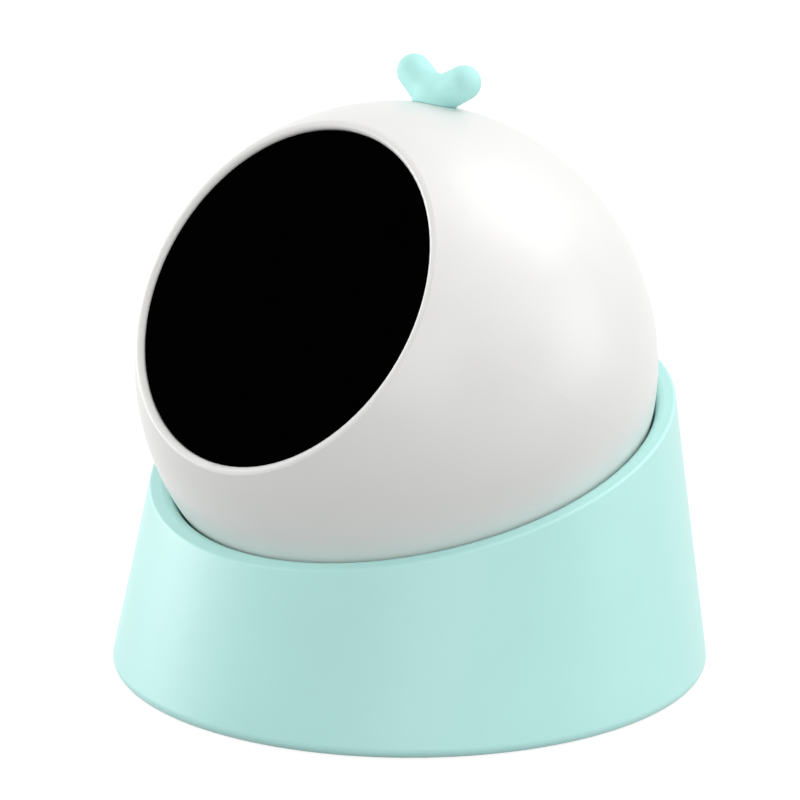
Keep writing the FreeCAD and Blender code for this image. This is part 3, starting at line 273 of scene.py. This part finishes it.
# %% [markdown]
# Metals: zinc-plated screws, steel cans, the brass barrel of the laser, the battery's foil.
# Metal that was drawn or rolled has fine lines along its length. They could be modelled as
# grooves, which is slow, or made with a Wave texture, which is too regular. Here one noise
# drives tone, roughness and relief, and it is finer across the lines than along them.

# %% Metals
def worked_metal(name, colour, gloss, stretch):
    """Metal with fine working lines; stretch is how many times finer the noise is along X, Y and Z."""
    material, tree, shader, where = new_material(name)
    mapping = tree.nodes.new("ShaderNodeMapping")
    mapping.inputs["Scale"].default_value = stretch
    tree.links.new(where, mapping.inputs["Vector"])
    lines = noise(tree, mapping.outputs["Vector"], size_mm=1.2, detail=5)
    tree.links.new(tint(tree, lines, shade(colour, 0.9), shade(colour, 1.06)), shader.inputs["Base Color"])
    tree.links.new(spread(tree, lines, *gloss), shader.inputs["Roughness"])
    bump(tree, shader, lines, height_mm=0.0015)
    shader.inputs["Metallic"].default_value = 1.0
    return material


ZINC = (0.60, 0.60, 0.61)
CAN_STEEL = (0.58, 0.58, 0.59)
PORT_STEEL = (0.64, 0.64, 0.66)
BRASS = (0.78, 0.56, 0.26)
FOIL = (0.68, 0.68, 0.70)

screw_steel = worked_metal("screw_steel", ZINC, gloss=(0.25, 0.42), stretch=(3, 3, 1))
can_steel = worked_metal("can_steel", CAN_STEEL, gloss=(0.28, 0.40), stretch=(1, 6, 6))
port_steel = worked_metal("port_steel", PORT_STEEL, gloss=(0.20, 0.32), stretch=(1, 4, 4))
barrel_brass = worked_metal("barrel_brass", BRASS, gloss=(0.22, 0.36), stretch=(6, 6, 1))
battery_foil = worked_metal("battery_foil", FOIL, gloss=(0.30, 0.48), stretch=(1, 1, 1))
print("metals:", screw_steel.name, can_steel.name, port_steel.name, barrel_brass.name, battery_foil.name)

# %% [markdown]
# The circuit boards carry green lacquer over copper tracks. Real tracks follow a circuit,
# which would take a drawing of its own for boards that sit deep inside. A Brick pattern
# with thin mortar makes straight lines that meet, which stand in for the tracks as
# slightly raised, lighter green ridges.

# %% Boards
BRICK_PATTERN = 3.2 * MM  # a brick is half of this long and a quarter of this high


def green_board():
    """Green lacquer with raised, lighter tracks round fields of 1.6 by 0.8 mm."""
    material, tree, shader, where = new_material("green_board")
    tracks = tree.nodes.new("ShaderNodeTexBrick")
    tracks.inputs["Scale"].default_value = 1 / BRICK_PATTERN
    tracks.inputs["Color1"].default_value = (0.010, 0.085, 0.035, 1)
    tracks.inputs["Color2"].default_value = (0.012, 0.095, 0.040, 1)
    tracks.inputs["Mortar"].default_value = (0.030, 0.160, 0.070, 1)
    tracks.inputs["Mortar Size"].default_value = 0.03
    tree.links.new(where, tracks.inputs["Vector"])
    tree.links.new(tracks.outputs["Color"], shader.inputs["Base Color"])
    tree.links.new(spread(tree, noise(tree, where, size_mm=2), 0.25, 0.4), shader.inputs["Roughness"])
    bump(tree, shader, tracks.outputs["Fac"], height_mm=0.02)
    return material


board_green = green_board()
print("boards:", board_green.name)

# %% [markdown]
# The lens in front of the laser is clear acrylic, so here light really passes through:
# full transmission, bent by acrylic's own index. Mixing a Glass shader with others would
# do the same with more nodes. The charging light is off, and its resin then looks pale
# yellow and cloudy, so one more moulded plastic is near enough.

# %% Lens and light
ACRYLIC_INDEX = 1.49
RESIN_YELLOW = (0.82, 0.76, 0.42)


def clear_lens():
    """Clear acrylic: light passes, with a trace of haze."""
    material, tree, shader, where = new_material("clear_lens")
    tree.links.new(tint(tree, noise(tree, where, size_mm=1), (0.93, 0.95, 0.96), (0.97, 0.98, 0.99)),
                   shader.inputs["Base Color"])
    tree.links.new(spread(tree, noise(tree, where, size_mm=0.6), 0.02, 0.06), shader.inputs["Roughness"])
    shader.inputs["Transmission Weight"].default_value = 1.0
    shader.inputs["IOR"].default_value = ACRYLIC_INDEX
    return material


lens_clear = clear_lens()
led_resin = moulded_plastic("led_resin", RESIN_YELLOW, gloss=(0.2, 0.3),
                            grain_mm=0.4, relief_mm=0.001, drift=0.05)
print("lens and light:", lens_clear.name, led_resin.name)

# %% [markdown]
# Each CAD node names a slot in the record, and each slot now gets its finish. Going by
# slot and not by node keeps the list short, and pieces of one stuff always match. The
# nodes' meshes stay as they are: only the material in their slots changes.

# %% Put the finishes on the nodes
FINISH_OF_SLOT = {
    "mint_shell": mint_shell, "white_shell": white_shell, "dark_window": window_acrylic,
    "sprout_mint": leaf_skin, "button_mint": button_skin, "seat_silicone": seat_silicone,
    "foot_rubber": foot_rubber, "adhesive_grey": window_glue, "foam_pad": battery_foam,
    "inner_plastic": inner_plastic, "gear_nylon": gear_nylon, "switch_black": switch_plastic,
    "board_green": board_green, "battery_foil": battery_foil, "motor_steel": can_steel,
    "screw_steel": screw_steel, "port_steel": port_steel, "laser_brass": barrel_brass,
    "lens_clear": lens_clear, "light_clear": light_plastic, "led_white": led_resin,
    "wire_cover": wire_skin,
}
slot_of_node = {entry["node"]: entry["material_slot"] for entry in frame["record"]["subparts"]}
for name, node in nodes.items():
    node.data.materials.clear()
    node.data.materials.append(FINISH_OF_SLOT[slot_of_node[name]])
print("finishes given to", len(nodes), "nodes")

# %% [markdown]
# The leaf stands on the ball, a little behind its top. A finished object could be turned
# there, but its place has to be in its mesh, as it is for the other pieces. So the leaf is
# shaped in directions of its own, from the ball's centre: one across its two lobes, one to
# its back and one straight out of the ball. At the end its points are turned into place.
# The centre could be typed in, but the frame knows it: it is where the ball tilts.

# %% Where the leaf stands
ball_tilt = next(joint for joint in frame["joints"] if joint["name"] == "ball_tilt")
ball_centre = np.array(ball_tilt["pos_m"])
BALL_RADIUS = 38.0 * MM
WINDOW_RISE = 31.7        # degrees by which the window looks up
WINDOW_TO_LEAF = 70.3     # degrees from the window's axis over the top to the leaf's
behind_top = math.radians(WINDOW_RISE + WINDOW_TO_LEAF - 90)
leaf_up = np.array([0.0, math.sin(behind_top), math.cos(behind_top)])
leaf_side = np.array([1.0, 0.0, 0.0])
leaf_back = np.cross(leaf_up, leaf_side)
print("the ball's centre is", round(float(ball_centre[2]) / MM, 2), "mm above the floor")
print("the leaf stands", round(math.degrees(behind_top), 1), "degrees behind the ball's top")

# %% [markdown]
# The leaf is one soft moulded form, whose lobes run into each other without an edge. Bars
# joined as meshes would leave creases where they meet. Instead the form is described by a
# distance: how far a point is from the skin, less than zero inside. Two forms described
# like this join by taking the smaller distance, and softly where the two are about equal.

# %% A bar with round ends, and a soft join
def distance_to_bar(points, root, tip, root_radius, tip_radius):
    """Distance to the nearest point of the axis, less the radius there, which runs from root's to tip's."""
    along = tip - root
    share = np.clip((points - root) @ along / (along @ along), 0, 1)
    nearest = root + share[..., None] * along
    radius = root_radius + share * (tip_radius - root_radius)
    return np.linalg.norm(points - nearest, axis=-1) - radius


def smooth_join(a, b, softness):
    """The smaller of two distances; where they differ by less than the softness, a parabola joins them."""
    closeness = np.clip(0.5 + 0.5 * (b - a) / softness, 0, 1)
    return b + (a - b) * closeness - softness * closeness * (1 - closeness)


print("both distances 1 mm, softness 2 mm: the join gives", smooth_join(1, 1, 2), "mm")

# %% [markdown]
# The leaf has two plump lobes, which lean a little to one side, on a short neck that goes
# down into the ball. Each lobe is a bar from near the fork to its tip, and the neck is an
# upright bar with round sides. A curve with a bevel could make a lobe too, but not the
# soft fork between them.

# %% The leaf as a distance
LOBE_LEAN = math.radians(2.6)
FORK = np.array([0, 0, 39.4]) * MM
ROOT_SPREAD, ROOT_RADIUS = 1.1 * MM, 2.65 * MM
TIP_SPREAD, TIP_RISE, TIP_RADIUS = 4.95 * MM, 2.45 * MM, 2.55 * MM
NECK_HALF_WIDTH, NECK_HALF_DEPTH = 3.55 * MM, 2.4 * MM
LOBE_SOFTNESS, NECK_SOFTNESS = 2.0 * MM, 0.3 * MM


def lobe_distance(points, side):
    """Distance to the lobe on one side, -1 or 1: a bar from the fork to a tip turned by the lean."""
    root = FORK + np.array([side * ROOT_SPREAD, 0, 0])
    along, up = side * TIP_SPREAD, TIP_RISE
    tip = FORK + np.array([along * math.cos(LOBE_LEAN) + up * math.sin(LOBE_LEAN), 0,
                           up * math.cos(LOBE_LEAN) - along * math.sin(LOBE_LEAN)])
    return distance_to_bar(points, root, tip, ROOT_RADIUS, TIP_RADIUS)


def leaf_distance(points):
    """Distance to the leaf: both lobes and a neck with round sides, joined softly, outside the ball.

    Points are counted from the ball's centre: x across the lobes, y to the back, z out of the ball.
    """
    lobes = smooth_join(lobe_distance(points, -1), lobe_distance(points, 1), LOBE_SOFTNESS)
    beyond = np.maximum(np.abs(points[..., 0]) - (NECK_HALF_WIDTH - NECK_HALF_DEPTH), 0)
    neck = np.maximum(np.hypot(beyond, points[..., 1]) - NECK_HALF_DEPTH, points[..., 2] - FORK[2])
    form = smooth_join(lobes, neck, NECK_SOFTNESS)
    return np.maximum(form, BALL_RADIUS - np.linalg.norm(points, axis=-1))


print("the leaf's fork is", round(float(FORK[2] - BALL_RADIUS) / MM, 2), "mm above the ball")

# %% [markdown]
# From a heart inside the leaf every direction meets the skin once, so the skin is a
# function of two angles. Halving a search interval over and over finds it along all
# directions at once, far finer than the mesh needs. A remeshing modifier could wrap the
# same form, but its faces come out uneven, and the highlights would show that.

# %% The leaf's skin
HEART = np.array([0, 0, 39.8]) * MM
LONGEST_REACH, HALVINGS = 12 * MM, 40
AROUND, DOWN = 144, 96


def directions_on_rings(around, down):
    """Rings round the x axis: (cos p, sin p cos a, sin p sin a), with p the angle from x and a round it."""
    azimuth = np.linspace(0, 2 * np.pi, around, endpoint=False)
    polar = (np.arange(down) + 0.5) / down * np.pi
    polar, azimuth = np.meshgrid(polar, azimuth, indexing="ij")
    return np.stack([np.cos(polar), np.sin(polar) * np.cos(azimuth), np.sin(polar) * np.sin(azimuth)],
                    axis=-1)


def skin_along(directions):
    """The skin in each direction: the half of the interval that holds it is kept, again and again."""
    near = np.zeros(directions.shape[:-1])
    far = np.full(directions.shape[:-1], LONGEST_REACH)
    for _ in range(HALVINGS):
        middle = (near + far) / 2
        inside = leaf_distance(HEART + directions * middle[..., None]) < 0
        near = np.where(inside, middle, near)
        far = np.where(inside, far, middle)
    return HEART + directions * near[..., None]


rings = skin_along(directions_on_rings(AROUND, DOWN))
poles = skin_along(np.array([[1.0, 0, 0], [-1.0, 0, 0]]))
print("the leaf's skin has", rings.shape[0], "rings of", rings.shape[1], "points and", len(poles), "poles")

# %% [markdown]
# The points become a mesh: four-sided faces between neighbouring rings, and a fan of
# triangles round each pole, so that nothing stays open. The leaf rides on the ball and
# stands for the simpler leaf of the CAD model, which stays hidden for the physics.

# %% The leaf's mesh
def grid_with_poles(rings, poles):
    """Points and faces of a closed surface: quads between rings, and a fan of triangles at each pole."""
    down, around = rings.shape[:2]
    points = np.concatenate([rings.reshape(-1, 3), poles])
    index = np.arange(down * around).reshape(down, around)
    beside = np.roll(index, -1, axis=1)
    quads = np.stack([index[:-1], index[1:], beside[1:], beside[:-1]], axis=-1).reshape(-1, 4)
    first, last = down * around, down * around + 1
    top = np.stack([np.full(around, first), index[0], beside[0]], axis=-1)
    bottom = np.stack([np.full(around, last), beside[-1], index[-1]], axis=-1)
    return points, quads.tolist() + top.tolist() + bottom.tolist()


points, faces = grid_with_poles(rings, poles)
points = ball_centre + points @ np.stack([leaf_side, leaf_back, leaf_up])
leaf_mesh = bpy.data.meshes.new("leaf")
leaf_mesh.from_pydata(points, [], faces)
leaf_mesh.update()
leaf = bpy.data.objects.new("leaf", leaf_mesh)
bpy.context.scene.collection.objects.link(leaf)
leaf_mesh.shade_smooth()
leaf_mesh.materials.append(leaf_skin)
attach(leaf, "ball")
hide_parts("sprout")
print("leaf faces:", len(faces), "height:", round(float(points[:, 2].max()) * 1000, 2), "mm")

# %% [markdown]
# A portrait of this kind has a white background. Enough light for that would bleach the
# toy too, so the floor and the sky only look white: rays that come straight from the
# camera, or by way of a mirror or glass, see them brighter than the rays do that carry
# soft light to the toy. A Light Path node tells the rays apart.

# %% White for the eye
def white_for_the_eye(tree):
    """1 for rays from the camera, mirrors and glass, 0 for soft light: the largest of three marks."""
    path = tree.nodes.new("ShaderNodeLightPath")
    seen_or_mirrored = tree.nodes.new("ShaderNodeMath")
    seen_or_mirrored.operation = "MAXIMUM"
    tree.links.new(path.outputs["Is Camera Ray"], seen_or_mirrored.inputs[0])
    tree.links.new(path.outputs["Is Glossy Ray"], seen_or_mirrored.inputs[1])
    or_through_glass = tree.nodes.new("ShaderNodeMath")
    or_through_glass.operation = "MAXIMUM"
    tree.links.new(seen_or_mirrored.outputs["Value"], or_through_glass.inputs[0])
    tree.links.new(path.outputs["Is Transmission Ray"], or_through_glass.inputs[1])
    return or_through_glass.outputs["Value"]


print("helper that tells the eye's rays from soft light: white_for_the_eye")

# %% [markdown]
# The toy stands on a pale floor that runs on as far as the eye goes. A curved sheet of
# paper behind the toy would do the same from one side only, and this toy is looked at
# from all sides. The floor's glow makes it read as white, and it still darkens where the
# toy shades it.

# %% Floor
FLOOR_GLOW = 0.85


def pale_floor():
    """A matte floor with a glow that only the eye sees, so that it reads as white paper."""
    material, tree, shader, where = new_material("pale_floor")
    tone = tint(tree, noise(tree, where, size_mm=40), dark=(0.30, 0.30, 0.30), light=(0.32, 0.32, 0.32))
    tree.links.new(tone, shader.inputs["Base Color"])
    shader.inputs["Roughness"].default_value = 0.9
    shader.inputs["Specular IOR Level"].default_value = 0.1
    shader.inputs["Emission Color"].default_value = (1, 1, 1, 1)
    glow = tree.nodes.new("ShaderNodeMath")
    glow.operation = "MULTIPLY"
    glow.inputs[1].default_value = FLOOR_GLOW
    tree.links.new(white_for_the_eye(tree), glow.inputs[0])
    tree.links.new(glow.outputs["Value"], shader.inputs["Emission Strength"])
    return material


edge = 6  # metres from the middle of the floor
floor_mesh = bpy.data.meshes.new("floor")
floor_mesh.from_pydata([(-edge, -edge, 0), (edge, -edge, 0), (edge, edge, 0), (-edge, edge, 0)],
                       [], [(0, 1, 2, 3)])
floor = bpy.data.objects.new("floor", floor_mesh)
bpy.context.scene.collection.objects.link(floor)
floor_mesh.materials.append(pale_floor())
print("floor is", 2 * edge, "m across")

# %% [markdown]
# The sky is soft and even, like a tent of white cloth. It looks white to the eye, and
# lights the toy with about 0.6 of that. An image of a real studio would give livelier
# mirrors, but this toy has hardly any, and an even sky has nothing to line up.

# %% Sky
SKY_LIGHT, SKY_WHITE = 0.61, 1.0

bpy.context.scene.view_settings.view_transform = "Standard"
world = bpy.data.worlds.new("studio")
bpy.context.scene.world = world
world.use_nodes = True
sky = world.node_tree
background = sky.nodes["Background"]
background.inputs["Color"].default_value = (1, 1, 1, 1)
strength = sky.nodes.new("ShaderNodeMapRange")
strength.inputs["To Min"].default_value = SKY_LIGHT
strength.inputs["To Max"].default_value = SKY_WHITE
sky.links.new(white_for_the_eye(sky), strength.inputs["Value"])
sky.links.new(strength.outputs["Result"], background.inputs["Strength"])
print("the sky gives", SKY_LIGHT, "as light and", SKY_WHITE, "to the eye")

# %% [markdown]
# Large soft lamps stand round the toy. Seen from the camera, one is high behind it on the
# right, three are low at the left, side by side, and act as one broad light, and there is
# one each at the right, in front and above. Small lamps would leave hard shadows and
# pin-sharp highlights on the ball. Each lamp is placed by its direction from the middle of
# the ball, so that moving it nearer or farther doesn't turn it away.

# %% Lamps
def soft_lamp(name, direction, distance, size, power):
    """A square area lamp that looks at the middle of the ball from a direction."""
    lamp = bpy.data.objects.new(name, bpy.data.lights.new(name, "AREA"))
    bpy.context.scene.collection.objects.link(lamp)
    towards = Vector(direction).normalized()
    lamp.location = Vector(ball_centre) + towards * distance
    lamp.rotation_euler = towards.to_track_quat("Z", "Y").to_euler()
    lamp.data.size = size
    lamp.data.energy = power
    return lamp


# name, direction from the ball, distance in metres, side of the square in metres, watts
LAMPS = [
    ("key_lamp", (0.299, 0.560, 0.771), 0.70, 0.46, 1.95),
    ("left_lamp", (-0.904, -0.417, 0.10), 0.80, 0.40, 1.60),
    ("far_left_lamp", (-0.98, -0.17, 0.12), 0.80, 0.40, 1.65),
    ("near_left_lamp", (-0.80, -0.60, 0.10), 0.80, 0.40, 0.80),
    ("right_lamp", (0.75, 0.65, 0.14), 0.80, 0.40, 1.15),
    ("front_lamp", (0.75, -0.62, 0.25), 0.90, 0.60, 2.2),
    ("top_lamp", (0.0, 0.0, 1.0), 0.80, 0.60, 0.4),
]
lamps = [soft_lamp(*row) for row in LAMPS]
print("lamps:", ", ".join(lamp.name for lamp in lamps))
